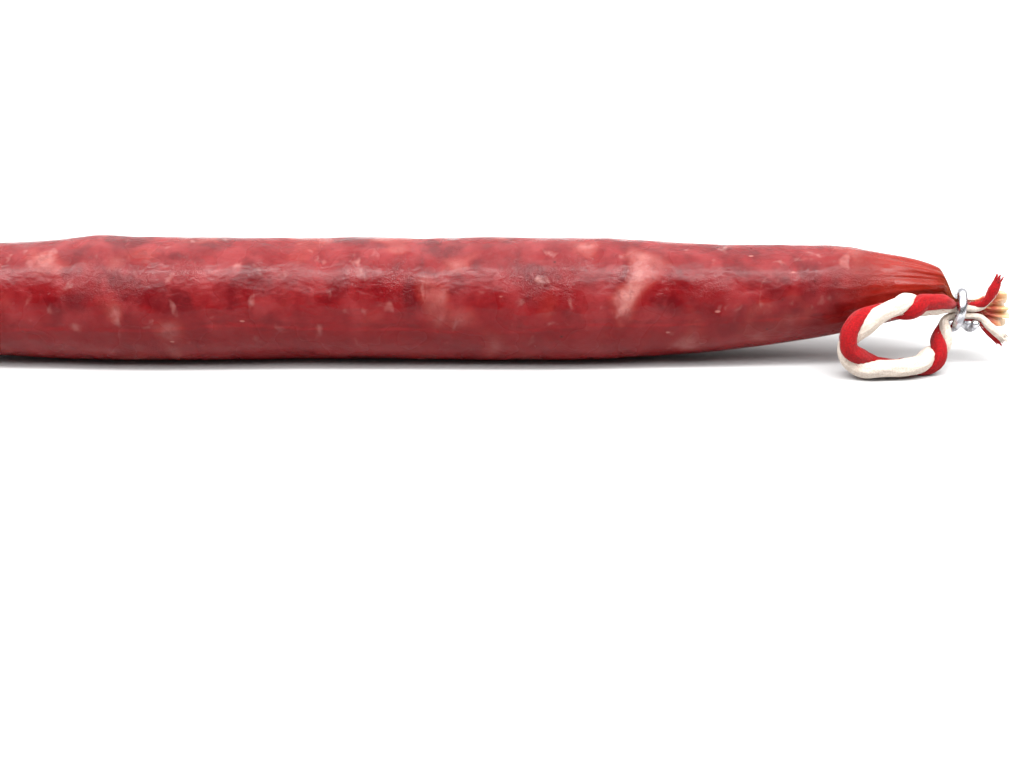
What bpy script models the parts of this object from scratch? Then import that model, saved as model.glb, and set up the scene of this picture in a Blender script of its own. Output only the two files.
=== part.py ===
"""A cured sausage stick: its casing gathered and clipped at both ends, with a twine loop at one.

Metres, +Z up. The sausage lies along X on the plane z = 0, with its tied end at +X.
The origin is on that plane, under the middle of its length.
"""

import math
import random

import bpy
import numpy as np
from mathutils import Vector

MM = 0.001
NAME = "cured_sausage"

# The sausage. The rings are spaced more closely towards its ends.
AXIS_HEIGHT = 9.7 * MM
BODY_SEGMENTS = 36
RING_SPACINGS = ((0.0, 4.0), (44.0, 3.0), (89.0, 1.6), (97.0, 0.7), (103.9, 1.1))
CASING_END = 109.5 * MM

# Half width and half height of the section, by distance from the middle, all in millimetres
END_PROFILE = (
    (0.0, 10.0, 10.0),
    (38.0, 9.95, 9.95),
    (54.0, 9.35, 9.35),
    (66.0, 8.6, 8.6),
    (76.0, 7.75, 7.75),
    (83.0, 6.95, 6.95),
    (89.0, 5.75, 5.75),
    (93.5, 4.65, 4.7),
    (96.8, 3.55, 3.7),
    (98.6, 2.5, 2.95),
    (99.8, 1.4, 2.3),
    (100.8, 0.95, 1.6),
    (104.0, 0.9, 1.5),
    (105.6, 1.35, 2.0),
    (107.2, 1.75, 2.35),
    (109.5, 1.9, 2.5),
)
PROFILE_STEPS = 8
LIFT_FROM, LIFT_TO = 55.0 * MM, 97.0 * MM
NECK_FROM, NECK_TO = 98.3 * MM, 101.2 * MM
TAIL_FROM = 104.2 * MM

# Lift of the tip, then Y and Z of the neck in its clip and of the casing's cut end
TIED_END = (2.3 * MM, -2.6 * MM, 9.0 * MM, -2.9 * MM, 8.9 * MM)
PLAIN_END = (1.6 * MM, -0.8 * MM, 8.3 * MM, -0.2 * MM, 7.4 * MM)

# Wide swells of the body: place along X, change in radius and length, in millimetres
SWELLS = ((-31.0, 0.22, 16.0), (5.0, -0.3, 12.0), (23.0, 0.2, 10.0))

# Lumps under the casing, and pleats where it is gathered
LUMP_COUNT = 110
LUMP_HEIGHT = 0.32 * MM
LUMP_SEED = 11
PLEAT_COUNT = 9
TIP_PLEAT_DEPTH = 0.05
TAIL_PLEAT_DEPTH = 0.16
PLEATED_TIP = (86.0 * MM, 97.0 * MM)
SMOOTH_FROM, SMOOTH_TO = 84.0 * MM, 97.0 * MM
PRESSED_ANGLE = 0.5

# Closed wire clips, wound a little over once round the neck
CLIP_WIRE_RADIUS = 0.75 * MM
CLIP_TURNS = 1.3
CLIP_PITCH = 3.0 * MM
CLIP_START = math.radians(200.0)
CLIP_POINTS = 34
TIED_CLIP_CENTRE = (101.7 * MM, -3.5 * MM, 9.0 * MM)
TIED_CLIP_HOLE = (2.15 * MM, 2.15 * MM)
PLAIN_CLIP_CENTRE = (-101.9 * MM, -0.8 * MM, 8.3 * MM)
PLAIN_CLIP_HOLE = (1.45 * MM, 2.05 * MM)

# The twine, pressed thin where the clip holds it. Its route starts at the upper tail.
TWINE_RADIUS = 1.65 * MM
TWINE_SPAN_STEPS = 2
TWINE_ROUTE = (
    # x, y, z and thickness, in millimetres and in parts of the full thickness
    (106.7, -4.5, 13.9, 0.52),
    (106.2, -4.7, 12.7, 0.60),
    (105.5, -4.9, 11.3, 0.46),
    (104.5, -4.6, 10.1, 0.39),
    (102.0, -4.45, 9.8, 0.385),
    (100.2, -4.55, 9.85, 0.40),
    (98.7, -5.9, 10.5, 0.62),
    (96.8, -7.4, 11.2, 0.88),
    (93.0, -8.9, 11.6, 1.0),
    (88.6, -9.8, 11.2, 1.0),
    (84.8, -10.8, 9.9, 1.0),
    (82.2, -11.5, 7.5, 1.0),
    (82.1, -11.5, 4.8, 1.0),
    (84.5, -11.2, 2.5, 1.0),
    (88.4, -10.9, 1.75, 1.0),
    (92.5, -10.5, 1.75, 1.0),
    (95.8, -9.3, 2.4, 1.0),
    (97.6, -7.8, 4.1, 0.90),
    (98.3, -6.2, 6.2, 0.68),
    (98.9, -4.9, 7.8, 0.44),
    (100.4, -4.45, 8.2, 0.385),
    (102.0, -4.45, 8.2, 0.385),
    (104.5, -4.6, 7.9, 0.39),
    (106.0, -5.0, 6.5, 0.48),
    (108.0, -5.0, 4.8, 0.55),
)

# Colours as linear RGB, with roughness and metallic value
CASING = ((0.32, 0.045, 0.05), 0.32, 0.0)
ALUMINIUM = ((0.78, 0.78, 0.8), 0.22, 1.0)
TWINE = ((0.78, 0.42, 0.38), 0.85, 0.0)


def clear_scene():
    for item in list(bpy.data.objects):
        bpy.data.objects.remove(item, do_unlink=True)


def make_collection(name):
    collection = bpy.data.collections.new(name)
    bpy.context.scene.collection.children.link(collection)
    return collection


def make_material(name, finish):
    colour, roughness, metallic = finish
    material = bpy.data.materials.new(name)
    material.use_nodes = True
    shader = material.node_tree.nodes["Principled BSDF"]
    shader.inputs["Base Color"].default_value = (*colour, 1.0)
    shader.inputs["Roughness"].default_value = roughness
    shader.inputs["Metallic"].default_value = metallic
    return material


def smoothstep(value, low, high):
    t = min(max((value - low) / (high - low), 0.0), 1.0)
    return t * t * (3.0 - 2.0 * t)


def mix(a, b, share):
    return a + (b - a) * share


def catmull_rom(before, start, end, after, t):
    return 0.5 * (2.0 * start + (end - before) * t
                  + (2.0 * before - 5.0 * start + 4.0 * end - after) * t * t
                  + (3.0 * start - before - 3.0 * end + after) * t * t * t)


def smooth_route(points, steps):
    """The points with steps - 1 more in each span, on a smooth curve through all of them."""
    padded = [points[0], *points, points[-1]]
    route = []
    for i in range(1, len(padded) - 2):
        for step in range(steps):
            quad = zip(padded[i - 1], padded[i], padded[i + 1], padded[i + 2])
            route.append([catmull_rom(*values, step / steps) for values in quad])
    route.append(list(points[-1]))
    return route


SECTIONS = np.array(smooth_route(END_PROFILE, PROFILE_STEPS))


def section_size(distance):
    """Half width and half height of the sausage at a distance from its middle."""
    place = distance / MM
    half_width = np.interp(place, SECTIONS[:, 0], SECTIONS[:, 1])
    half_height = np.interp(place, SECTIONS[:, 0], SECTIONS[:, 2])
    return half_width * MM, half_height * MM


def axis_point(x):
    """Y and Z of the section's centre. Each end lifts, then its neck drops into its clip."""
    tied = x > 0.0
    distance = abs(x)
    lift, neck_y, neck_z, tail_y, tail_z = TIED_END if tied else PLAIN_END
    y = mix(0.0, 0.35 * neck_y, smoothstep(distance, LIFT_FROM, LIFT_TO))
    z = mix(AXIS_HEIGHT, AXIS_HEIGHT + lift, smoothstep(distance, LIFT_FROM, LIFT_TO))
    into_neck = smoothstep(distance, NECK_FROM, NECK_TO)
    into_tail = smoothstep(distance, TAIL_FROM, CASING_END)
    y = mix(mix(y, neck_y, into_neck), tail_y, into_tail)
    z = mix(mix(z, neck_z, into_neck), tail_z, into_tail)
    return y, z


def make_lumps():
    """Low bumps and hollows, each with its place, angle, height, length and angular width."""
    draw = random.Random(LUMP_SEED)
    lumps = []
    for i in range(LUMP_COUNT):
        along = mix(-94.0, 94.0, (i + draw.random()) / LUMP_COUNT) * MM
        angle = draw.uniform(-math.pi, math.pi)
        height = draw.uniform(-1.0, 1.0) * LUMP_HEIGHT
        lumps.append((along, angle, height, draw.uniform(4.0, 9.0) * MM, draw.uniform(0.35, 0.8)))
    return lumps


def surface_height(lumps, x, angle):
    """How far the swells and the lumps raise the surface. They are pressed flat where it lies."""
    height = 0.0
    for along, size, length in SWELLS:
        height += size * MM * math.exp(-((x / MM - along) / length) ** 2)
    for along, centre, size, length, width in lumps:
        turn = math.remainder(angle - centre, 2.0 * math.pi)
        height += size * math.exp(-((x - along) / length) ** 2 - (turn / width) ** 2)
    from_underside = math.remainder(angle + math.pi / 2.0, 2.0 * math.pi)
    return height * (1.0 - math.exp(-(from_underside / PRESSED_ANGLE) ** 2))


def pleat_factor(distance, angle):
    """The casing's folds: shallow on the tip, none in the clip and deep on the cut tail."""
    towards_neck = smoothstep(distance, *PLEATED_TIP)
    in_neck = smoothstep(distance, NECK_FROM, NECK_TO)
    on_tail = smoothstep(distance, TAIL_FROM, CASING_END)
    depth = TIP_PLEAT_DEPTH * towards_neck * (1.0 - in_neck) + TAIL_PLEAT_DEPTH * on_tail
    return 1.0 + depth * math.cos(PLEAT_COUNT * angle)


def ring_places():
    """Distances of the rings from one cut end of the casing to the other."""
    places = [0.0]
    while places[-1] < CASING_END:
        spacing = [step for start, step in RING_SPACINGS if places[-1] >= start * MM][-1]
        places.append(places[-1] + spacing * MM)
    stretch = CASING_END / places[-1]
    half = [place * stretch for place in places]
    return [-place for place in reversed(half[1:])] + half


def turned_mesh(name, profile, steps):
    """A closed mesh turned about Z from (radius, height) points that run from top to bottom."""
    mesh = bpy.data.meshes.new(name + "_profile")
    vertices = [(radius, 0.0, height) for radius, height in profile]
    mesh.from_pydata(vertices, [(i, i + 1) for i in range(len(vertices) - 1)], [])
    turned = bpy.data.objects.new(name + "_profile", mesh)
    bpy.context.scene.collection.objects.link(turned)
    screw = turned.modifiers.new("turn", "SCREW")
    screw.axis = "Z"
    screw.steps = steps
    screw.render_steps = steps
    screw.use_merge_vertices = True
    screw.merge_threshold = 0.00001
    result = evaluated_copy(turned, name)
    bpy.data.objects.remove(turned, do_unlink=True)
    return result


def evaluated_copy(source, name):
    depsgraph = bpy.context.evaluated_depsgraph_get()
    mesh = bpy.data.meshes.new_from_object(source.evaluated_get(depsgraph))
    mesh.name = name
    return mesh


def place_object(name, data, material, collection):
    item = bpy.data.objects.new(name, data)
    data.materials.clear()
    data.materials.append(material)
    collection.objects.link(item)
    return item


def make_sausage(material, collection):
    """A turned bar, then shaped: tapered, lumpy, pleated at its ends and flat where it lies."""
    places = ring_places()
    side = [(AXIS_HEIGHT, place) for place in reversed(places)]
    profile = [(0.0, places[-1]), *side, (0.0, places[0])]
    mesh = turned_mesh("sausage", profile, BODY_SEGMENTS)
    lumps = make_lumps()
    for vertex in mesh.vertices:
        x = vertex.co.z
        radius = math.hypot(vertex.co.x, vertex.co.y) / AXIS_HEIGHT
        angle = math.atan2(vertex.co.y, vertex.co.x)
        half_width, half_height = section_size(abs(x))
        centre_y, centre_z = axis_point(x)
        folds = pleat_factor(abs(x), angle)
        bump = surface_height(lumps, x, angle) * (1.0 - smoothstep(abs(x), SMOOTH_FROM, SMOOTH_TO))
        y = centre_y + radius * (half_width * folds + bump) * math.cos(angle)
        z = centre_z + radius * (half_height * folds + bump) * math.sin(angle)
        vertex.co = (x, y, max(z, 0.0))
    mesh.shade_smooth()
    return place_object("sausage", mesh, material, collection)


def make_tube(name, points, thicknesses, radius, material, collection):
    """A round tube along the points, with filled ends."""
    curve = bpy.data.curves.new(name, "CURVE")
    curve.dimensions = "3D"
    curve.bevel_depth = radius
    curve.bevel_resolution = 2
    curve.use_fill_caps = True
    spline = curve.splines.new("POLY")
    spline.points.add(len(points) - 1)
    for target, point, thickness in zip(spline.points, points, thicknesses):
        target.co = (*point, 1.0)
        target.radius = thickness
    spline.use_smooth = True
    return place_object(name, curve, material, collection)


def make_clip(name, centre, hole, material, collection):
    """A wire wound round the neck, whose two ends lie side by side under its front."""
    centre = Vector(centre)
    outward = math.copysign(1.0, centre.x)
    points = []
    for i in range(CLIP_POINTS):
        share = i / (CLIP_POINTS - 1)
        angle = CLIP_START + CLIP_TURNS * 2.0 * math.pi * share
        along = outward * CLIP_TURNS * CLIP_PITCH * (0.5 - share)
        across = (hole[0] + CLIP_WIRE_RADIUS) * math.cos(angle)
        up = (hole[1] + CLIP_WIRE_RADIUS) * math.sin(angle)
        points.append(centre + Vector((along, across, up)))
    return make_tube(name, points, [1.0] * CLIP_POINTS, CLIP_WIRE_RADIUS, material, collection)


def make_twine(material, collection):
    route = smooth_route(TWINE_ROUTE, TWINE_SPAN_STEPS)
    points = [Vector(row[:3]) * MM for row in route]
    thicknesses = [row[3] for row in route]
    return make_tube("twine", points, thicknesses, TWINE_RADIUS, material, collection)


def main():
    clear_scene()
    collection = make_collection(NAME)
    casing = make_material("casing", CASING)
    aluminium = make_material("aluminium", ALUMINIUM)
    twine = make_material("twine", TWINE)
    make_sausage(casing, collection)
    make_clip("clip_tied_end", TIED_CLIP_CENTRE, TIED_CLIP_HOLE, aluminium, collection)
    make_clip("clip_plain_end", PLAIN_CLIP_CENTRE, PLAIN_CLIP_HOLE, aluminium, collection)
    make_twine(twine, collection)


main()
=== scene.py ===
"""Looks of a cured sausage stick: casing over marbled meat, wire clips and a two-ply twine loop."""

import math
import random

import bpy
import numpy as np
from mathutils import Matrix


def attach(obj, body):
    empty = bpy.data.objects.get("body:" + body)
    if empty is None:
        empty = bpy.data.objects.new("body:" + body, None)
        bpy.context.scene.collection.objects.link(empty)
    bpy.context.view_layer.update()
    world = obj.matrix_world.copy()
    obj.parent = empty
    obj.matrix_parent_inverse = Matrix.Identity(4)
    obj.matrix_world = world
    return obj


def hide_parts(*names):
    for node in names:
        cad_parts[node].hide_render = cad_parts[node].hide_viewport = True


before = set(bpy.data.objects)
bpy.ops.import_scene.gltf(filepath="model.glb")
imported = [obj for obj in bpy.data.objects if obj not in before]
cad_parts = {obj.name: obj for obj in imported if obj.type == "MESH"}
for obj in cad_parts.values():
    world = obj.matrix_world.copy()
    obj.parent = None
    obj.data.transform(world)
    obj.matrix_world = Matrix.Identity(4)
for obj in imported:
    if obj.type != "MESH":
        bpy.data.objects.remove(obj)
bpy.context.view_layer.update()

MM = 0.001

# The sausage's form, in millimetres, as in its solid
AXIS_HEIGHT = 9.7
# Distance from the middle of the length, half width and half height
END_PROFILE = (
    (0.0, 10.0, 10.0),
    (38.0, 9.95, 9.95),
    (54.0, 9.35, 9.35),
    (66.0, 8.6, 8.6),
    (76.0, 7.75, 7.75),
    (83.0, 6.95, 6.95),
    (89.0, 5.75, 5.75),
    (93.5, 4.65, 4.7),
    (96.8, 3.55, 3.7),
    (98.6, 2.5, 2.95),
    (99.8, 1.4, 2.3),
    (100.8, 0.95, 1.6),
    (104.0, 0.9, 1.5),
    (105.6, 1.35, 2.0),
    (107.2, 1.75, 2.35),
    (109.5, 1.9, 2.5),
)
PROFILE_STEPS = 8
CASING_END = 109.5
LIFT_FROM, LIFT_TO = 55.0, 97.0
NECK_FROM, NECK_TO = 98.3, 101.2
TAIL_FROM = 104.2
# Part of the neck's sideways offset that the tip before it has
TIP_SIDE_SHARE = 0.35
# Lift of the tip, then Y and Z of the neck in its clip and of the casing's cut end
TIED_END = (2.3, -2.6, 9.0, -2.9, 8.9)
PLAIN_END = (1.6, -0.8, 8.3, -0.2, 7.4)
# Place along X, change of radius and length of each wide swell
SWELLS = ((-31.0, 0.22, 16.0), (5.0, -0.3, 12.0), (23.0, 0.2, 10.0))

# Low lumps and fine ones. Widths are angles in radians.
LUMP_COUNT, LUMP_SEED = 110, 11
LUMP_HEIGHT, LUMP_REACH = 0.32, 94.0
LUMP_LENGTHS, LUMP_WIDTHS = (4.0, 9.0), (0.35, 0.8)
FINE_LUMP_COUNT, FINE_LUMP_SEED = 900, 5
FINE_LUMP_HEIGHT, FINE_LUMP_REACH = 0.10, 97.0
FINE_LUMP_LENGTHS, FINE_LUMP_WIDTHS = (1.2, 3.0), (0.10, 0.26)
# A lump is worked out up to this many of its lengths from its middle
LUMP_EXTENT = 3.0
# The swells and lumps fade out over these distances, and within this angle of the underside
SMOOTH_FROM, SMOOTH_TO = 84.0, 97.0
PRESSED_ANGLE = 0.5

# Pleats, creases and the casing's seam
PLEAT_COUNT = 9
TIP_PLEAT_DEPTH = 0.05
PLEATED_TIP = (86.0, 97.0)
CREASED_TIP = (70.0, 97.0)
CREASE_DEPTH = 0.045
# Share of the depth, number round the section, and the sway's size, pace and start
CREASE_SETS = ((1.0, 23.0, 1.5, 0.21, 1.0), (0.6, 37.0, 2.0, 0.13, 0.0))
SEAM_ANGLE = math.radians(-172.0)
# Size, pace and start of each wave of the seam
SEAM_WAVES = ((0.05, 0.09, 0.0), (0.03, 0.23, 2.0))
SEAM_DEPTH, SEAM_WIDTH = 0.14, 0.018
LIP_HEIGHT, LIP_OFFSET, LIP_WIDTH = 0.05, 0.05, 0.04
SEAM_FADES = (80.0, 95.0)

# The body's mesh
BODY_SIDES = 168
BODY_RING_GAP, TIP_RING_GAP = 0.45, 0.22
CLOSE_RINGS_FROM = 84.0
FLOOR_BLEND = 0.12

# The gathered casing past each clip
TAIL_SIDES, TAIL_RINGS, CUP_RINGS = 216, 44, 16
TAIL_START, TAIL_OPENS = TAIL_FROM - 0.8, TAIL_FROM - 0.5
PLAIN_TAIL_PHASE = 1.3
TAIL_FULLNESS = 0.92
FOLD_COUNT, FOLD_SWAY = 11.0, 0.6
FOLD_DEPTHS = (0.10, 0.30)
WAVE_COUNT, WAVE_PACE, WAVE_DEPTH = 5.0, 0.4, 0.12
CUT_BACK, NOTCH_DEPTH = 0.75, 0.5
# Share of the depth and number round the cut edge of each set of notches
NOTCHES, FINE_NOTCHES = (1.0, 4.0), (0.5, 9.0)
FINE_NOTCH_PHASE = 1.0
CUP_START, CUP_CLOSING, CUP_DEPTH = 0.06, 0.86, 2.2

# The clips
CLIP_WIRE_RADIUS = 0.75
CLIP_TURNS = 1.3
CLIP_PITCH = 3.0
CLIP_START = math.radians(200.0)
TIED_CLIP_CENTRE = (101.7, -3.5, 9.0)
TIED_CLIP_HOLE = (2.15, 2.15)
PLAIN_CLIP_CENTRE = (-101.9, -0.8, 8.3)
PLAIN_CLIP_HOLE = (1.45, 2.05)
CLIP_RINGS, CLIP_SIDES = 360, 28
# The wire's narrowest radius, at its very ends, as part of the full one
WIRE_TIP = 0.1
WIRE_FLATNESS, WIRE_UNEVENNESS, WIRE_DENTS = 0.09, 0.02, 0.015
UNEVEN_PACE, DENT_PACE = 40.0, 25.0
PRESSED_REACH = 0.45

# The twine's route, from its upper tail: x, y, z and part of the full thickness
TWINE_RADIUS = 1.65
TWINE_ROUTE = (
    (106.7, -4.5, 13.9, 0.52),
    (106.2, -4.7, 12.7, 0.60),
    (105.5, -4.9, 11.3, 0.46),
    (104.5, -4.6, 10.1, 0.39),
    (102.0, -4.45, 9.8, 0.385),
    (100.2, -4.55, 9.85, 0.40),
    (98.7, -5.9, 10.5, 0.62),
    (96.8, -7.4, 11.2, 0.88),
    (93.0, -8.9, 11.6, 1.0),
    (88.6, -9.8, 11.2, 1.0),
    (84.8, -10.8, 9.9, 1.0),
    (82.2, -11.5, 7.5, 1.0),
    (82.1, -11.5, 4.8, 1.0),
    (84.5, -11.2, 2.5, 1.0),
    (88.4, -10.9, 1.75, 1.0),
    (92.5, -10.5, 1.75, 1.0),
    (95.8, -9.3, 2.4, 1.0),
    (97.6, -7.8, 4.1, 0.90),
    (98.3, -6.2, 6.2, 0.68),
    (98.9, -4.9, 7.8, 0.44),
    (100.4, -4.45, 8.2, 0.385),
    (102.0, -4.45, 8.2, 0.385),
    (104.5, -4.6, 7.9, 0.39),
    (106.0, -5.0, 6.5, 0.48),
    (108.0, -5.0, 4.8, 0.55),
)
ROUTE_STEPS = 14
# The lowest height of any point of the twine's mesh, just above the floor
LOWEST = 0.02 * MM

# The two plies, with sizes as parts of the twine's radius
PLY_OFFSET = 0.46
PLY_RADIUS = 0.84
PLY_SIDES = 40
# Station along the route, and the red ply's half turns from the side that faces the camera
TWINE_TURNS = (
    (0.0, 0.0), (2.6, -0.05), (3.3, -0.45), (4.0, -0.9), (4.8, -0.6), (5.6, -0.35),
    (6.3, -0.3), (7.9, -0.15), (8.3, 0.4), (8.75, 0.9), (9.6, 1.1), (10.4, 1.6),
    (11.3, 2.0), (11.9, 2.1), (12.8, 2.5), (13.7, 2.92), (15.4, 3.05), (16.1, 3.5),
    (16.8, 4.0), (17.6, 4.5), (18.6, 5.0), (21.0, 5.2), (24.0, 5.3),
)
# Depth, number round the ply and turn along it, in radians, of each set of yarns
YARN_SETS = ((0.04, 6.0, 80.0), (0.025, 11.0, -130.0))

# The frayed ends: length and spread of each ply's upper tuft, and of both lower ones
UPPER_TUFTS = ((1.9, 0.12), (1.3, 0.3))
LOWER_TUFT = (1.7, 0.3)
# The ply's points at its two ends, each with the point that gives its heading
UPPER_CUT, LOWER_CUT = (0, 9), (-1, -8)
STRAND_COUNT, STRAND_SEED = 46, 7
STRAND_RADIUS, STRAND_TAPER = 0.2, 0.85
STRAND_RINGS, STRAND_SIDES = 8, 6
# How far inside the ply a strand starts, and how far out, as part of the ply's radius
STRAND_ROOT, STRAND_PLACES = 0.4, 0.85
# Length as part of the tuft's, bend away from the tuft's middle and to one side
STRAND_LENGTHS, STRAND_BENDS, STRAND_SWAY = (0.5, 1.0), (0.3, 1.0), 0.3
# A heading with more Z than this counts as upright
UPRIGHT = 0.8

# Loose hairs. They start at this part of the twine's radius, run along it and lift off it.
HAIR_COUNT, HAIR_SEED = 90, 21
HAIR_RADIUS, HAIR_TAPER = 0.035, 0.7
HAIR_RINGS, HAIR_SIDES = 6, 4
HAIR_ROOT = 0.92
HAIR_RUNS, HAIR_LIFTS = (0.5, 1.3), (0.15, 0.5)
HAIR_FLOOR_GAP = 0.1

# The camera, in the same millimetres
CAMERA_PLACE = (28.4, -235.6, 88.2)
CAMERA_PITCH = math.radians(21.5)
FOCAL_PIXELS = 1500.0
FRAME_WIDTH = 1024.0
SENSOR_WIDTH = 36.0

# What the camera sees, the floor and the lamps, in metres
NEAREST, FARTHEST = 0.01, 20.0
FLOOR_HALF = 3.0
# Name, place, size and power of each lamp
LAMPS = (
    ("front_softbox", (0.0, -0.25, 0.42), (1.5, 0.33), 5.0),
    ("strip", (0.0, -0.15, 0.41), (1.2, 0.05), 4.8),
)
# The sky brightens between these parts of straight up, the backdrop of straight to the back
HORIZON_LIGHT, ZENITH_LIGHT = 0.15, 3.3
SKY_BRIGHTENS = (0.5, 0.85)
BACKDROP_LIGHT = 1.0
BACKDROP_BRIGHTENS = (0.3, 0.8)


# General helpers

def smoothstep(value, low, high):
    t = np.clip((value - low) / (high - low), 0.0, 1.0)
    return t * t * (3.0 - 2.0 * t)


def mix(a, b, share):
    return a + (b - a) * share


def angles(count):
    """Evenly spaced angles round a section, as one row."""
    return np.linspace(0.0, 2.0 * math.pi, count, endpoint=False)[None, :]


def turn_between(angle, centre):
    return np.mod(angle - centre + math.pi, 2.0 * math.pi) - math.pi


def catmull_rom(before, start, end, after, t):
    return 0.5 * (2.0 * start + (end - before) * t
                  + (2.0 * before - 5.0 * start + 4.0 * end - after) * t * t
                  + (3.0 * start - before - 3.0 * end + after) * t * t * t)


def smooth_route(points, steps):
    """The points with steps - 1 more in each span, on a smooth curve through all of them."""
    padded = [points[0], *points, points[-1]]
    route = []
    for i in range(1, len(padded) - 2):
        for step in range(steps):
            quad = zip(padded[i - 1], padded[i], padded[i + 1], padded[i + 2])
            route.append([catmull_rom(*values, step / steps) for values in quad])
    route.append(list(points[-1]))
    return route


def grid_mesh(name, points):
    """A closed skin over rings of points: an array of ring, place round it, and x, y, z in mm."""
    rings, around, _ = points.shape
    ring, place = np.meshgrid(np.arange(rings - 1), np.arange(around), indexing="ij")
    after = (place + 1) % around
    quads = np.stack([ring * around + place, ring * around + after,
                      (ring + 1) * around + after, (ring + 1) * around + place], axis=-1)
    faces = quads.reshape(-1, 4).tolist()
    last = (rings - 1) * around
    start_middle, end_middle = rings * around, rings * around + 1
    faces += [[(k + 1) % around, k, start_middle] for k in range(around)]
    faces += [[last + k, last + (k + 1) % around, end_middle] for k in range(around)]
    middles = [points[0].mean(axis=0), points[-1].mean(axis=0)]
    vertices = np.vstack([points.reshape(-1, 3), middles])
    mesh = bpy.data.meshes.new(name)
    mesh.from_pydata((vertices * MM).tolist(), [], faces)
    mesh.validate()
    mesh.shade_smooth()
    return mesh


def add_piece(name, mesh, material, nodes):
    item = bpy.data.objects.new(name, mesh)
    mesh.materials.append(material)
    bpy.context.scene.collection.objects.link(item)
    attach(item, "root")
    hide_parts(*nodes)
    return item


# Materials

def srgb(red, green, blue):
    """A colour given as 0 to 255 screen values, as linear light."""
    def linear(value):
        value /= 255.0
        return value / 12.92 if value <= 0.04045 else ((value + 0.055) / 1.055) ** 2.4
    return linear(red), linear(green), linear(blue)


DEEP_MEAT = srgb(78, 4, 9)
MEAT = srgb(101, 11, 15)
PALE_MEAT = srgb(116, 33, 35)
# Painted shade: the deeper red laid over the sausage's lower half
PAINTED_SHADE_RED = srgb(110, 4, 9)
WARM_EDGE = srgb(122, 36, 30)
FAT = srgb(138, 76, 72)
WHITE_FAT = srgb(164, 118, 112)
TAIL_SALMON = srgb(160, 52, 40)
TAIL_CREAM = srgb(196, 160, 112)
TIP_ORANGE = srgb(122, 24, 9)
TIP_BROWN = srgb(92, 44, 22)
PEPPER = srgb(52, 12, 10)
SKIN_FLECK = srgb(170, 112, 102)
BRIGHT_WIRE = srgb(196, 196, 200)
DULL_WIRE = srgb(150, 150, 156)
# Each cotton's pale and deep colour
RED_COTTON = (srgb(152, 3, 10), srgb(106, 1, 6))
CREAM_COTTON = (srgb(200, 190, 180), srgb(172, 156, 142))
# The floor's colours near the sausage and away from it
FLOOR_NEAR = (0.46, 0.46, 0.46)
FLOOR_AWAY = (0.96, 0.96, 0.96)


def ramp_node(tree, value, low, high, start, end):
    """A smooth change from start to end as the value goes from low to high, which may be lower."""
    node = tree.nodes.new("ShaderNodeMapRange")
    node.interpolation_type = "SMOOTHSTEP"
    node.inputs["From Min"].default_value = low
    node.inputs["From Max"].default_value = high
    node.inputs["To Min"].default_value = start
    node.inputs["To Max"].default_value = end
    tree.links.new(value, node.inputs["Value"])
    return node.outputs["Result"]


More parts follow.
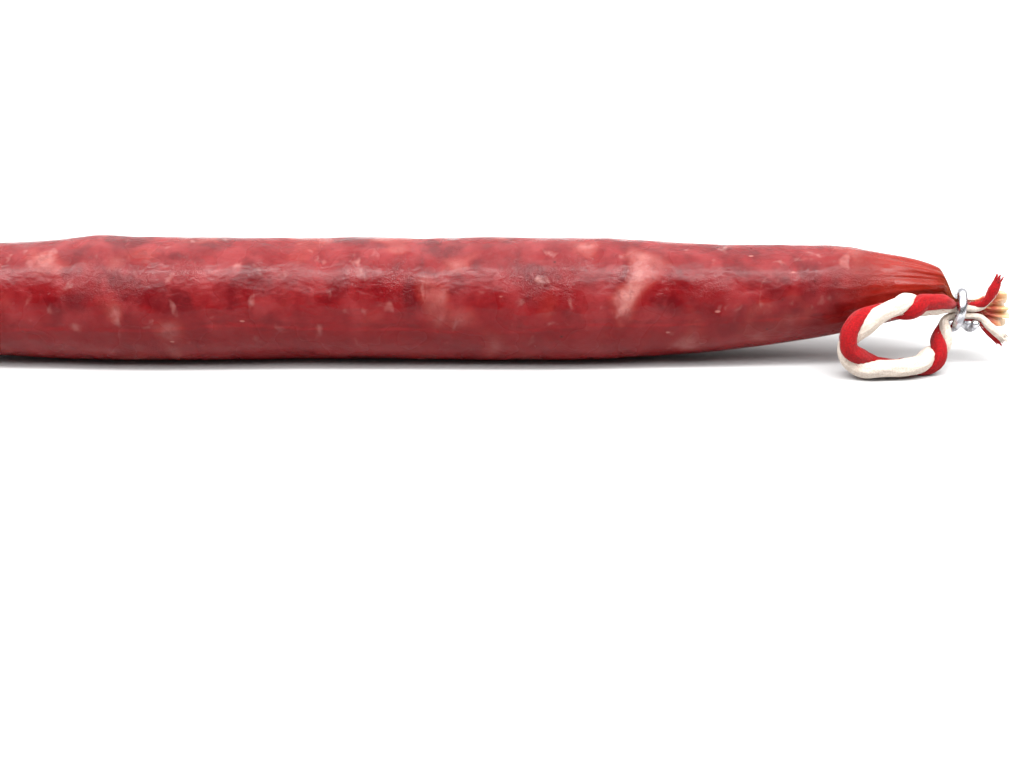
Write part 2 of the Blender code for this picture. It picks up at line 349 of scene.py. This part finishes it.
class Nodes:
    """Adds nodes to a material and links them by name."""

    def __init__(self, name):
        self.material = bpy.data.materials.new(name)
        self.material.use_nodes = True
        self.tree = self.material.node_tree
        self.shader = self.tree.nodes["Principled BSDF"]
        coords = self.tree.nodes.new("ShaderNodeTexCoord")
        self.position = coords.outputs["Object"]

    def link(self, source, target):
        self.tree.links.new(source, target)

    def scaled(self, scale=(1.0, 1.0, 1.0), offset=(0.0, 0.0, 0.0)):
        """The object's position in millimetres, times a scale along each axis, plus an offset."""
        node = self.tree.nodes.new("ShaderNodeMapping")
        node.inputs["Scale"].default_value = [part / MM for part in scale]
        node.inputs["Location"].default_value = offset
        self.link(self.position, node.inputs["Vector"])
        return node.outputs["Vector"]

    def noise(self, fineness, detail=2.0, roughness=0.5, distortion=0.0, **placing):
        node = self.tree.nodes.new("ShaderNodeTexNoise")
        node.inputs["Scale"].default_value = fineness
        node.inputs["Detail"].default_value = detail
        node.inputs["Roughness"].default_value = roughness
        node.inputs["Distortion"].default_value = distortion
        self.link(self.scaled(**placing), node.inputs["Vector"])
        return node.outputs["Fac"]

    def specks(self, fineness, edge, ragged, **placing):
        """The distance from the nearest speck's middle, made ragged by another pattern."""
        node = self.tree.nodes.new("ShaderNodeTexVoronoi")
        node.inputs["Scale"].default_value = fineness
        self.link(self.scaled(**placing), node.inputs["Vector"])
        return self.math("ADD", node.outputs["Distance"], self.math("MULTIPLY", edge, ragged))

    def ramp(self, value, low, high, start=0.0, end=1.0):
        return ramp_node(self.tree, value, low, high, start, end)

    def math(self, operation, *values):
        node = self.tree.nodes.new("ShaderNodeMath")
        node.operation = operation
        for socket, value in zip(node.inputs, values):
            if isinstance(value, float):
                socket.default_value = value
            else:
                self.link(value, socket)
        return node.outputs["Value"]

    def blend(self, factor, a, b):
        node = self.tree.nodes.new("ShaderNodeMix")
        node.data_type = "RGBA"
        for name, value in (("Factor_Float", factor), ("A_Color", a), ("B_Color", b)):
            socket = next(s for s in node.inputs if s.identifier == name)
            if isinstance(value, tuple):
                socket.default_value = (*value, 1.0)
            else:
                self.link(value, socket)
        return next(s for s in node.outputs if s.identifier == "Result_Color")

    def layer(self, under, over, value, none, full, share=1.0, kept=None):
        """One colour over another: not at all where the value is none, by the share where full."""
        factor = self.ramp(value, none, full, 0.0, share)
        if kept is not None:
            factor = self.math("MULTIPLY", factor, kept)
        return self.blend(factor, under, over)

    def bump(self, height, depth, strength, normal=None):
        node = self.tree.nodes.new("ShaderNodeBump")
        node.inputs["Strength"].default_value = strength
        node.inputs["Distance"].default_value = depth * MM
        self.link(height, node.inputs["Height"])
        if normal is not None:
            self.link(normal, node.inputs["Normal"])
        return node.outputs["Normal"]

    def place(self):
        """Distance from the middle of the length, and height, in millimetres."""
        node = self.tree.nodes.new("ShaderNodeSeparateXYZ")
        self.link(self.scaled(), node.inputs["Vector"])
        return self.math("ABSOLUTE", node.outputs["X"]), node.outputs["Z"]

    def length(self, vector):
        node = self.tree.nodes.new("ShaderNodeVectorMath")
        node.operation = "LENGTH"
        self.link(vector, node.inputs[0])
        return node.outputs["Value"]

    def set(self, **values):
        for name, value in values.items():
            self.shader.inputs[name.replace("_", " ")].default_value = value


def casing_colour(n, fat):
    """Marbled meat with painted shade that makes it darker and redder low down, with pepper and
    flecks, and orange where it is gathered.
    """
    distance, height = n.place()
    on_body = n.ramp(distance, low=80.0, high=95.0, start=1.0, end=0.12)
    pale = n.noise(fineness=0.17, distortion=0.35, scale=(1.0, 0.85, 0.85), offset=(7.0, 3.0, 1.0))
    colour = n.layer(MEAT, PALE_MEAT, pale, none=0.42, full=0.66)
    deep = n.noise(fineness=0.15, distortion=0.4, scale=(1.0, 0.9, 0.9), offset=(57.0, 13.0, 4.0))
    colour = n.layer(colour, DEEP_MEAT, deep, none=0.46, full=0.64, share=0.85)
    colour = n.layer(colour, WARM_EDGE, fat, none=0.55, full=0.64, share=0.5, kept=on_body)
    colour = n.layer(colour, FAT, fat, none=0.60, full=0.74, share=0.7, kept=on_body)
    colour = n.layer(colour, WHITE_FAT, fat, none=0.66, full=0.80, share=0.5, kept=on_body)
    mottle = n.noise(fineness=0.38, detail=3.0, roughness=0.6, distortion=0.5,
                     scale=(1.0, 0.9, 0.9), offset=(44.0, 9.0, 27.0))
    colour = n.layer(colour, DEEP_MEAT, mottle, none=0.5, full=0.7, share=0.4)
    colour = n.layer(colour, PALE_MEAT, mottle, none=0.5, full=0.3, share=0.35)
    crumbs = n.noise(fineness=0.36, distortion=0.3, scale=(1.0, 0.8, 0.8), offset=(3.0, 41.0, 23.0))
    colour = n.layer(colour, WHITE_FAT, crumbs, none=0.62, full=0.84, share=0.55, kept=on_body)
    grain = n.noise(fineness=0.75, detail=4.0, roughness=0.6, distortion=0.4,
                    scale=(1.0, 0.8, 0.8), offset=(19.0, 5.0, 8.0))
    colour = n.layer(colour, DEEP_MEAT, grain, none=0.5, full=0.74, share=0.4)
    colour = n.layer(colour, PALE_MEAT, grain, none=0.5, full=0.3, share=0.22)
    # Painted shade: below 13 mm the meat turns deeper red, as if shaded
    colour = n.layer(colour, PAINTED_SHADE_RED, height, none=13.0, full=6.0, share=0.62)
    pepper = n.specks(fineness=0.2, edge=grain, ragged=0.05, offset=(11.0, 2.0, 6.0))
    colour = n.layer(colour, PEPPER, pepper, none=0.08, full=0.05, share=0.75)
    flecks = n.specks(fineness=0.22, edge=grain, ragged=0.08,
                      scale=(0.5, 1.0, 1.0), offset=(5.0, 8.0, 3.0))
    colour = n.layer(colour, SKIN_FLECK, flecks, none=0.1, full=0.06, share=0.5)
    colour = n.layer(colour, TIP_ORANGE, distance, none=76.0, full=93.0, share=0.8)
    return n.layer(colour, TIP_BROWN, distance, none=97.0, full=100.5, share=0.85)


def casing_relief(n, fat, damp):
    """Fat, lumps, skin and pores, with crinkles where the casing is damp."""
    lumpy = n.noise(fineness=0.32, distortion=0.3, scale=(0.8, 1.0, 1.0), offset=(4.0, 14.0, 7.0))
    skin = n.noise(fineness=0.9, detail=4.0, roughness=0.6, distortion=0.5, scale=(0.6, 1.0, 1.0))
    crinkle = n.noise(fineness=2.4, detail=3.0, roughness=0.6, distortion=1.2,
                      scale=(0.8, 1.0, 1.0), offset=(2.0, 7.0, 9.0))
    crinkle = n.math("MULTIPLY", crinkle, n.ramp(damp, low=0.5, high=0.64))
    pores = n.noise(fineness=5.0, roughness=0.6)
    relief = n.bump(fat, depth=0.4, strength=0.5)
    relief = n.bump(lumpy, depth=0.5, strength=0.7, normal=relief)
    relief = n.bump(skin, depth=0.16, strength=0.6, normal=relief)
    relief = n.bump(crinkle, depth=0.16, strength=0.8, normal=relief)
    return n.bump(pores, depth=0.02, strength=0.5, normal=relief)


def casing_material():
    """Marbled meat seen softly through a thin glossy casing."""
    n = Nodes("casing")
    fat = n.noise(fineness=0.135, detail=1.5, roughness=0.45, distortion=0.3,
                  scale=(1.0, 0.85, 0.85), offset=(31.0, 17.0, 5.0))
    damp = n.noise(fineness=0.11, offset=(23.0, 4.0, 14.0))
    n.link(casing_colour(n, fat), n.shader.inputs["Base Color"])
    n.link(casing_relief(n, fat, damp), n.shader.inputs["Normal"])
    roughness = n.ramp(damp, low=0.42, high=0.6, start=0.34, end=0.1)
    n.link(roughness, n.shader.inputs["Roughness"])
    n.set(Subsurface_Weight=0.7, Subsurface_Radius=(1.0, 0.3, 0.22), Subsurface_Scale=1.5 * MM,
          IOR=1.34, Specular_IOR_Level=0.29,
          Coat_Weight=0.05, Coat_Roughness=0.08, Coat_IOR=1.36)
    return n.material


def tail_material():
    """The dry gathered casing past the clip: salmon stained with cream, and cream at its cut end."""
    n = Nodes("casing_tail")
    stain = n.noise(fineness=0.55, detail=3.0, roughness=0.6, distortion=0.6, scale=(0.6, 1.0, 1.0))
    colour = n.layer(TAIL_SALMON, TAIL_CREAM, stain, none=0.5, full=0.68)
    distance, _ = n.place()
    colour = n.layer(colour, TAIL_CREAM, distance, none=106.0, full=109.0, share=0.85)
    n.link(colour, n.shader.inputs["Base Color"])
    grain = n.noise(fineness=3.0, detail=3.0, roughness=0.6, scale=(0.4, 1.0, 1.0))
    n.link(n.bump(grain, depth=0.08, strength=0.5), n.shader.inputs["Normal"])
    roughness = n.ramp(grain, low=0.3, high=0.7, start=0.38, end=0.55)
    n.link(roughness, n.shader.inputs["Roughness"])
    n.set(Subsurface_Weight=0.35, Subsurface_Radius=(1.0, 0.6, 0.35), Subsurface_Scale=0.9 * MM,
          Specular_IOR_Level=0.4)
    return n.material


def wire_material():
    """Bright drawn aluminium wire with faint scratches and dull press marks."""
    n = Nodes("clip_wire")
    scratches = n.noise(fineness=2.6, detail=3.0, roughness=0.7, scale=(3.0, 3.0, 3.0))
    marks = n.noise(fineness=0.9, offset=(5.0, 0.0, 2.0))
    colour = n.layer(BRIGHT_WIRE, DULL_WIRE, marks, none=0.45, full=0.65)
    n.link(colour, n.shader.inputs["Base Color"])
    n.link(n.bump(scratches, depth=0.012, strength=0.3), n.shader.inputs["Normal"])
    roughness = n.ramp(marks, low=0.4, high=0.7, start=0.2, end=0.36)
    n.link(roughness, n.shader.inputs["Roughness"])
    n.set(Metallic=1.0)
    return n.material


def yarn_material(name, pale, deep):
    """Soft cotton with fine fibres."""
    n = Nodes(name)
    fibres = n.noise(fineness=4.0, detail=4.0, roughness=0.65, distortion=0.8)
    tone = n.noise(fineness=0.8, offset=(2.0, 9.0, 4.0))
    colour = n.layer(deep, pale, fibres, none=0.3, full=0.7)
    colour = n.layer(colour, deep, tone, none=0.4, full=0.75, share=0.25)
    n.link(colour, n.shader.inputs["Base Color"])
    n.link(n.bump(fibres, depth=0.1, strength=0.7), n.shader.inputs["Normal"])
    n.set(Roughness=0.85, Specular_IOR_Level=0.15, Sheen_Weight=0.08, Sheen_Roughness=0.5,
          Subsurface_Weight=0.15, Subsurface_Radius=(1.0, 0.8, 0.7), Subsurface_Scale=0.5 * MM)
    return n.material


def floor_material():
    """A plain pale sheet that turns whiter away from the sausage, where less light falls on it."""
    n = Nodes("floor")
    away = n.length(n.scaled(scale=(0.5, 1.0, 0.0)))
    colour = n.layer(FLOOR_NEAR, FLOOR_AWAY, away, none=50.0, full=330.0)
    n.link(colour, n.shader.inputs["Base Color"])
    n.set(Roughness=0.8, Specular_IOR_Level=0.2)
    return n.material


# The sausage

SECTIONS = np.array(smooth_route(END_PROFILE, PROFILE_STEPS))


def section_size(distance):
    half_width = np.interp(distance, SECTIONS[:, 0], SECTIONS[:, 1])
    half_height = np.interp(distance, SECTIONS[:, 0], SECTIONS[:, 2])
    return half_width, half_height


def axis_point(x):
    """Y and Z of the section's centre. Each end lifts, then its neck drops into its clip."""
    distance = np.abs(x)
    lift, neck_y, neck_z, tail_y, tail_z = np.where(x[..., None] > 0.0, TIED_END, PLAIN_END).T
    lifted = smoothstep(distance, LIFT_FROM, LIFT_TO)
    into_neck = smoothstep(distance, NECK_FROM, NECK_TO)
    into_tail = smoothstep(distance, TAIL_FROM, CASING_END)
    y = mix(mix(TIP_SIDE_SHARE * neck_y * lifted, neck_y, into_neck), tail_y, into_tail)
    z = mix(mix(AXIS_HEIGHT + lift * lifted, neck_z, into_neck), tail_z, into_tail)
    return y, z


def make_lumps():
    """The solid's own low bumps and hollows: place, angle, height, length and angular width."""
    draw = random.Random(LUMP_SEED)
    lumps = []
    for i in range(LUMP_COUNT):
        along = mix(-LUMP_REACH, LUMP_REACH, (i + draw.random()) / LUMP_COUNT)
        angle = draw.uniform(-math.pi, math.pi)
        height = draw.uniform(-1.0, 1.0) * LUMP_HEIGHT
        length = draw.uniform(*LUMP_LENGTHS)
        lumps.append((along, angle, height, length, draw.uniform(*LUMP_WIDTHS)))
    return lumps


def fine_lumps():
    """Small pieces of fat and meat that show as relief under the casing, given like the lumps."""
    draw = random.Random(FINE_LUMP_SEED)
    lumps = []
    for _ in range(FINE_LUMP_COUNT):
        height = draw.uniform(-1.0, 1.0) * FINE_LUMP_HEIGHT
        along = draw.uniform(-FINE_LUMP_REACH, FINE_LUMP_REACH)
        angle = draw.uniform(-math.pi, math.pi)
        length = draw.uniform(*FINE_LUMP_LENGTHS)
        lumps.append((along, angle, height, length, draw.uniform(*FINE_LUMP_WIDTHS)))
    return lumps


def raised(x, angle, lumps):
    """The sum of the lumps at each place."""
    height = np.zeros(np.broadcast(x, angle).shape)
    for along, centre, size, length, width in lumps:
        near = np.abs(x[:, 0] - along) < LUMP_EXTENT * length
        turn = turn_between(angle, centre)
        height[near] += size * np.exp(-((x[near] - along) / length) ** 2 - (turn / width) ** 2)
    return height


def creases(x, angle):
    """Fine lengthwise creases, deeper towards the gathered ends."""
    distance = np.abs(x)
    towards_end = smoothstep(distance, *CREASED_TIP)
    before_neck = 1.0 - smoothstep(distance, NECK_FROM, NECK_TO)
    ripple = sum(share * np.cos(count * angle + sway * np.sin(pace * x + start))
                 for share, count, sway, pace, start in CREASE_SETS)
    return CREASE_DEPTH * towards_end * before_neck * ripple


def seam(x, angle):
    """One long seam on the front: a narrow groove with a low lip beside it."""
    drift = sum(size * np.sin(pace * x + start) for size, pace, start in SEAM_WAVES)
    turn = turn_between(angle, SEAM_ANGLE + drift)
    groove = -SEAM_DEPTH * np.exp(-(turn / SEAM_WIDTH) ** 2)
    lip = LIP_HEIGHT * np.exp(-((turn - LIP_OFFSET) / LIP_WIDTH) ** 2)
    return (groove + lip) * (1.0 - smoothstep(np.abs(x), *SEAM_FADES))


def pleats(distance, angle):
    in_neck = smoothstep(distance, NECK_FROM, NECK_TO)
    depth = TIP_PLEAT_DEPTH * smoothstep(distance, *PLEATED_TIP) * (1.0 - in_neck)
    return 1.0 + depth * np.cos(PLEAT_COUNT * angle)


def soft_floor(z):
    """Heights kept above the floor, with a rounded edge where the sausage lies on it."""
    low = FLOOR_BLEND * np.exp(np.minimum(z / FLOOR_BLEND - 1.0, 0.0))
    return np.where(z > FLOOR_BLEND, z, low)


def ring_places():
    """Places of the rings along X: even on the body, closer at the ends."""
    body = np.arange(0.0, CLOSE_RINGS_FROM, BODY_RING_GAP)
    tip = np.arange(CLOSE_RINGS_FROM, TAIL_FROM, TIP_RING_GAP)
    half = np.concatenate([body, tip])
    return np.concatenate([-half[:0:-1], half])


def make_sausage():
    """The sausage in its casing, with the necks that go through the clips."""
    x = ring_places()[:, None]
    angle = angles(BODY_SIDES)
    distance = np.abs(x)
    half_width, half_height = section_size(distance)
    centre_y, centre_z = (part[:, None] for part in axis_point(x[:, 0]))
    height = sum(size * np.exp(-((x - along) / length) ** 2) for along, size, length in SWELLS)
    height = height + raised(x, angle, make_lumps())
    height += raised(x, angle, fine_lumps())
    height *= 1.0 - smoothstep(distance, SMOOTH_FROM, SMOOTH_TO)
    height *= 1.0 - np.exp(-(turn_between(angle, -math.pi / 2.0) / PRESSED_ANGLE) ** 2)
    height += creases(x, angle) + seam(x, angle)
    folds = pleats(distance, angle)
    y = centre_y + (half_width * folds + height) * np.cos(angle)
    z = soft_floor(centre_z + (half_height * folds + height) * np.sin(angle))
    points = np.stack([np.broadcast_to(x, y.shape), y, z], axis=-1)
    mesh = grid_mesh("sausage_body", points)
    return add_piece("sausage_body", mesh, casing_material(), ["sausage"])


def make_tail(name, side, material):
    """The gathered casing past a clip, cut off and spread open in deep pleats."""
    phase = 0.0 if side > 0 else PLAIN_TAIL_PHASE
    angle = angles(TAIL_SIDES)
    distance = np.linspace(TAIL_START, CASING_END, TAIL_RINGS)[:, None]
    x = distance * side
    half_width, half_height = section_size(distance)
    centre_y, centre_z = (part[:, None] for part in axis_point(x[:, 0]))
    opened = smoothstep(distance, TAIL_OPENS, CASING_END)
    fold = np.cos(FOLD_COUNT * angle + phase + FOLD_SWAY * np.sin(2.0 * angle))
    wave = np.cos(WAVE_COUNT * angle + 2.0 * phase + WAVE_PACE * distance)
    reach = TAIL_FULLNESS + fold * mix(*FOLD_DEPTHS, opened) + WAVE_DEPTH * opened * wave
    y = centre_y + half_width * reach * np.cos(angle)
    z = centre_z + half_height * reach * np.sin(angle)
    ragged = sum(share * np.cos(count * angle + start)
                 for (share, count), start in ((NOTCHES, phase), (FINE_NOTCHES, FINE_NOTCH_PHASE)))
    x = x + side * opened * (NOTCH_DEPTH * ragged - CUT_BACK)
    points = np.concatenate([np.stack([x, y, z], axis=-1), cup_rings(x, y, z, side)])
    if side < 0:
        points = points[:, ::-1]
    mesh = grid_mesh(name, points)
    return add_piece(name, mesh, material, ["sausage"])


def cup_rings(x, y, z, side):
    """Rings that go back in from the last ring of a tail, as a hollow that narrows."""
    rim = np.stack([x[-1], y[-1], z[-1]], axis=-1)
    steps = np.linspace(CUP_START, 1.0, CUP_RINGS)[:, None, None]
    cup = mix(rim[None], rim.mean(axis=0)[None, None], CUP_CLOSING * steps)
    cup[..., 0] -= side * CUP_DEPTH * np.sqrt(steps[..., 0])
    return cup


# Tubes along a route

def directions(points):
    """Unit tangents and two unit normals carried smoothly along a line."""
    tangent = np.gradient(points, axis=0)
    tangent /= np.linalg.norm(tangent, axis=1)[:, None]
    first = np.cross(tangent[0], (0.0, 0.0, 1.0))
    first /= np.linalg.norm(first)
    normals = [first]
    for i in range(1, len(points)):
        carried = normals[-1] - tangent[i] * np.dot(normals[-1], tangent[i])
        normals.append(carried / np.linalg.norm(carried))
    normals = np.array(normals)
    return tangent, normals, np.cross(tangent, normals)


def tube_points(points, radius, around, shape=None):
    """Rings round a line. shape(angle, ring share) scales the radius to make other sections."""
    _, normal, binormal = directions(points)
    angle = angles(around)
    reach = np.asarray(radius)[:, None] * np.ones_like(angle)
    if shape is not None:
        reach = reach * shape(angle, np.linspace(0.0, 1.0, len(points))[:, None])
    across = np.cos(angle)[..., None] * normal[:, None] + np.sin(angle)[..., None] * binormal[:, None]
    return points[:, None] + reach[..., None] * across


# The clips

def pressed_wire(turn, place):
    """The wire's uneven section, most pressed halfway along it."""
    flat = WIRE_FLATNESS * np.cos(2.0 * turn)
    flat = flat + WIRE_UNEVENNESS * np.cos(3.0 * turn + UNEVEN_PACE * place)
    dents = WIRE_DENTS * np.cos(DENT_PACE * place + 2.0 * turn)
    return 1.0 + flat * np.exp(-((place - 0.5) / PRESSED_REACH) ** 2) + dents


def make_clip(name, centre, hole, node, material):
    """A wire wound round the neck. Its rounded ends overlap from its front round its underside."""
    outward = math.copysign(1.0, centre[0])
    share = np.linspace(0.0, 1.0, CLIP_RINGS)
    angle = CLIP_START + CLIP_TURNS * 2.0 * math.pi * share
    along = outward * CLIP_TURNS * CLIP_PITCH * (0.5 - share)
    line = np.stack([centre[0] + along,
                     centre[1] + (hole[0] + CLIP_WIRE_RADIUS) * np.cos(angle),
                     centre[2] + (hole[1] + CLIP_WIRE_RADIUS) * np.sin(angle)], axis=-1)
    length = np.linalg.norm(np.diff(line, axis=0), axis=1).sum()
    from_end = np.minimum(share, 1.0 - share) * length / CLIP_WIRE_RADIUS
    rounding = 1.0 - np.minimum(from_end, 1.0)
    radius = CLIP_WIRE_RADIUS * np.maximum(np.sqrt(1.0 - rounding ** 2), WIRE_TIP)
    mesh = grid_mesh(name, tube_points(line, radius, CLIP_SIDES, pressed_wire))
    return add_piece(name, mesh, material, [node])


# The twine

def ply_line(line, thickness, turned):
    """A ply's own centreline, winding round the twine's."""
    tangent = directions(line)[0]
    forward = np.array(CAMERA_PLACE) - line
    forward -= tangent * np.sum(forward * tangent, axis=1)[:, None]
    forward /= np.linalg.norm(forward, axis=1)[:, None]
    sideways = np.cross(forward, tangent)
    station = np.arange(len(line)) / ROUTE_STEPS
    keys = np.array(TWINE_TURNS)
    angle = math.pi * (np.interp(station, keys[:, 0], keys[:, 1]) + turned)
    offset = PLY_OFFSET * TWINE_RADIUS * thickness
    around = np.cos(angle)[:, None] * forward + np.sin(angle)[:, None] * sideways
    return line + offset[:, None] * around


def yarns(turn, place):
    """The ply's section, with shallow grooves between its yarns."""
    return 1.0 + sum(depth * np.cos(count * turn + twist * place)
                     for depth, count, twist in YARN_SETS)


def frayed_end(tip, heading, radius, length, spread, seed):
    """A tuft of tapering strands that carry a ply on past its cut."""
    draw = random.Random(seed)
    strands = []
    heading = heading / np.linalg.norm(heading)
    other = (0.0, 0.0, 1.0) if abs(heading[2]) < UPRIGHT else (1.0, 0.0, 0.0)
    across = np.cross(heading, other)
    across /= np.linalg.norm(across)
    upward = np.cross(heading, across)
    share = np.linspace(0.0, 1.0, STRAND_RINGS)[:, None]
    for _ in range(STRAND_COUNT):
        turn = draw.uniform(0.0, 2.0 * math.pi)
        away = math.cos(turn) * across + math.sin(turn) * upward
        place = radius * math.sqrt(draw.random()) * STRAND_PLACES
        start = tip - STRAND_ROOT * heading + away * place
        reach = length * draw.uniform(*STRAND_LENGTHS)
        bend = away * draw.uniform(*STRAND_BENDS) + across * draw.uniform(-STRAND_SWAY, STRAND_SWAY)
        line = start + heading * reach * share + bend * spread * reach * share ** 2
        thickness = STRAND_RADIUS * (1.0 - STRAND_TAPER * share[:, 0])
        strands.append(tube_points(line, thickness, STRAND_SIDES))
    return strands


def stray_fibres(line, thickness, seed):
    """Fine loose hairs that stand off the twine, without those that would touch the floor."""
    draw = random.Random(seed)
    fibres = []
    share = np.linspace(0.0, 1.0, HAIR_RINGS)[:, None]
    for _ in range(HAIR_COUNT):
        i = draw.randrange(ROUTE_STEPS, len(line) - ROUTE_STEPS)
        away = np.array([draw.uniform(-1.0, 1.0) for _ in range(3)])
        tangent = line[i + 1] - line[i - 1]
        tangent /= np.linalg.norm(tangent)
        away -= tangent * np.dot(away, tangent)
        away /= np.linalg.norm(away)
        run = tangent * draw.choice((-1.0, 1.0)) * draw.uniform(*HAIR_RUNS)
        start = line[i] + away * HAIR_ROOT * TWINE_RADIUS * thickness[i]
        hair = start + run * share + away * draw.uniform(*HAIR_LIFTS) * share ** 1.5
        if hair[:, 2].min() > HAIR_FLOOR_GAP:
            radius = HAIR_RADIUS * (1.0 - HAIR_TAPER * share[:, 0])
            fibres.append(tube_points(hair, radius, HAIR_SIDES))
    return fibres


def join_tubes(name, tubes):
    """One mesh of closed tubes, each given as its rings of points and the number of its material."""
    vertices, faces, materials = [], [], []
    for points, material in tubes:
        part = grid_mesh(name + "_part", points)
        base = len(vertices)
        vertices += [tuple(vertex.co) for vertex in part.vertices]
        faces += [[base + k for k in face.vertices] for face in part.polygons]
        materials += [material] * len(part.polygons)
        bpy.data.meshes.remove(part)
    mesh = bpy.data.meshes.new(name)
    mesh.from_pydata([(x, y, max(z, LOWEST)) for x, y, z in vertices], [], faces)
    mesh.shade_smooth()
    mesh.polygons.foreach_set("material_index", materials)
    return mesh


def make_twine():
    """Two twisted plies, one red and one cream, each of several yarns, frayed at the cut ends."""
    route = np.array(smooth_route(TWINE_ROUTE, ROUTE_STEPS))
    line, thickness = route[:, :3], route[:, 3]
    reach = PLY_RADIUS * TWINE_RADIUS * thickness
    tubes = []
    for material, turned in enumerate((0.0, 1.0)):
        ply = ply_line(line, thickness, turned)
        tubes.append((tube_points(ply, reach, PLY_SIDES, yarns), material))
        for cut, size in ((UPPER_CUT, UPPER_TUFTS[material]), (LOWER_CUT, LOWER_TUFT)):
            last, before = cut
            heading = ply[last] - ply[before]
            seed = STRAND_SEED + 3 * material + last
            tuft = frayed_end(ply[last], heading, reach[last], *size, seed)
            tubes += [(strand, material) for strand in tuft]
        tubes += [(hair, material) for hair in stray_fibres(line, thickness, HAIR_SEED + material)]
    mesh = join_tubes("twine_loop", tubes)
    red = yarn_material("red_cotton", *RED_COTTON)
    item = add_piece("twine_loop", mesh, red, ["twine"])
    mesh.materials.append(yarn_material("cream_cotton", *CREAM_COTTON))
    return item


# Camera, stage and light

def make_camera():
    data = bpy.data.cameras.new("camera")
    data.sensor_width = SENSOR_WIDTH
    data.lens = FOCAL_PIXELS / FRAME_WIDTH * SENSOR_WIDTH
    data.clip_start = NEAREST
    data.clip_end = FARTHEST
    camera = bpy.data.objects.new("camera", data)
    camera.location = [part * MM for part in CAMERA_PLACE]
    camera.rotation_euler = (math.pi / 2.0 - CAMERA_PITCH, 0.0, 0.0)
    bpy.context.scene.collection.objects.link(camera)
    bpy.context.scene.camera = camera


def make_floor():
    mesh = bpy.data.meshes.new("floor")
    half = FLOOR_HALF
    corners = [(-half, -half, 0.0), (half, -half, 0.0), (half, half, 0.0), (-half, half, 0.0)]
    mesh.from_pydata(corners, [], [(0, 1, 2, 3)])
    mesh.materials.append(floor_material())
    floor = bpy.data.objects.new("floor", mesh)
    bpy.context.scene.collection.objects.link(floor)


def make_sky():
    """A sky that is bright overhead, with a pale backdrop behind the sausage."""
    world = bpy.data.worlds.new("studio")
    world.use_nodes = True
    tree = world.node_tree
    coords = tree.nodes.new("ShaderNodeTexCoord")
    direction = tree.nodes.new("ShaderNodeSeparateXYZ")
    tree.links.new(coords.outputs["Generated"], direction.inputs["Vector"])
    sky = ramp_node(tree, direction.outputs["Z"], *SKY_BRIGHTENS, HORIZON_LIGHT, ZENITH_LIGHT)
    backdrop = ramp_node(tree, direction.outputs["Y"], *BACKDROP_BRIGHTENS, 0.0, BACKDROP_LIGHT)
    both = tree.nodes.new("ShaderNodeMath")
    both.operation = "ADD"
    tree.links.new(sky, both.inputs[0])
    tree.links.new(backdrop, both.inputs[1])
    background = tree.nodes["Background"]
    tree.links.new(both.outputs["Value"], background.inputs["Strength"])
    background.inputs["Color"].default_value = (1.0, 1.0, 1.0, 1.0)
    bpy.context.scene.world = world


def make_lamp(name, place, size, power):
    """A rectangular lamp that shines straight down."""
    data = bpy.data.lights.new(name, "AREA")
    data.shape = "RECTANGLE"
    data.size, data.size_y = size
    data.energy = power
    lamp = bpy.data.objects.new(name, data)
    lamp.location = place
    bpy.context.scene.collection.objects.link(lamp)


def main():
    make_camera()
    make_twine()
    make_sausage()
    tail = tail_material()
    make_tail("casing_tail_tied", 1.0, tail)
    make_tail("casing_tail_plain", -1.0, tail)
    wire = wire_material()
    make_clip("clip_wire_tied", TIED_CLIP_CENTRE, TIED_CLIP_HOLE, "clip_tied_end", wire)
    make_clip("clip_wire_plain", PLAIN_CLIP_CENTRE, PLAIN_CLIP_HOLE, "clip_plain_end", wire)
    make_floor()
    make_sky()
    bpy.context.scene.view_settings.view_transform = "Standard"
    for lamp in LAMPS:
        make_lamp(*lamp)


main()
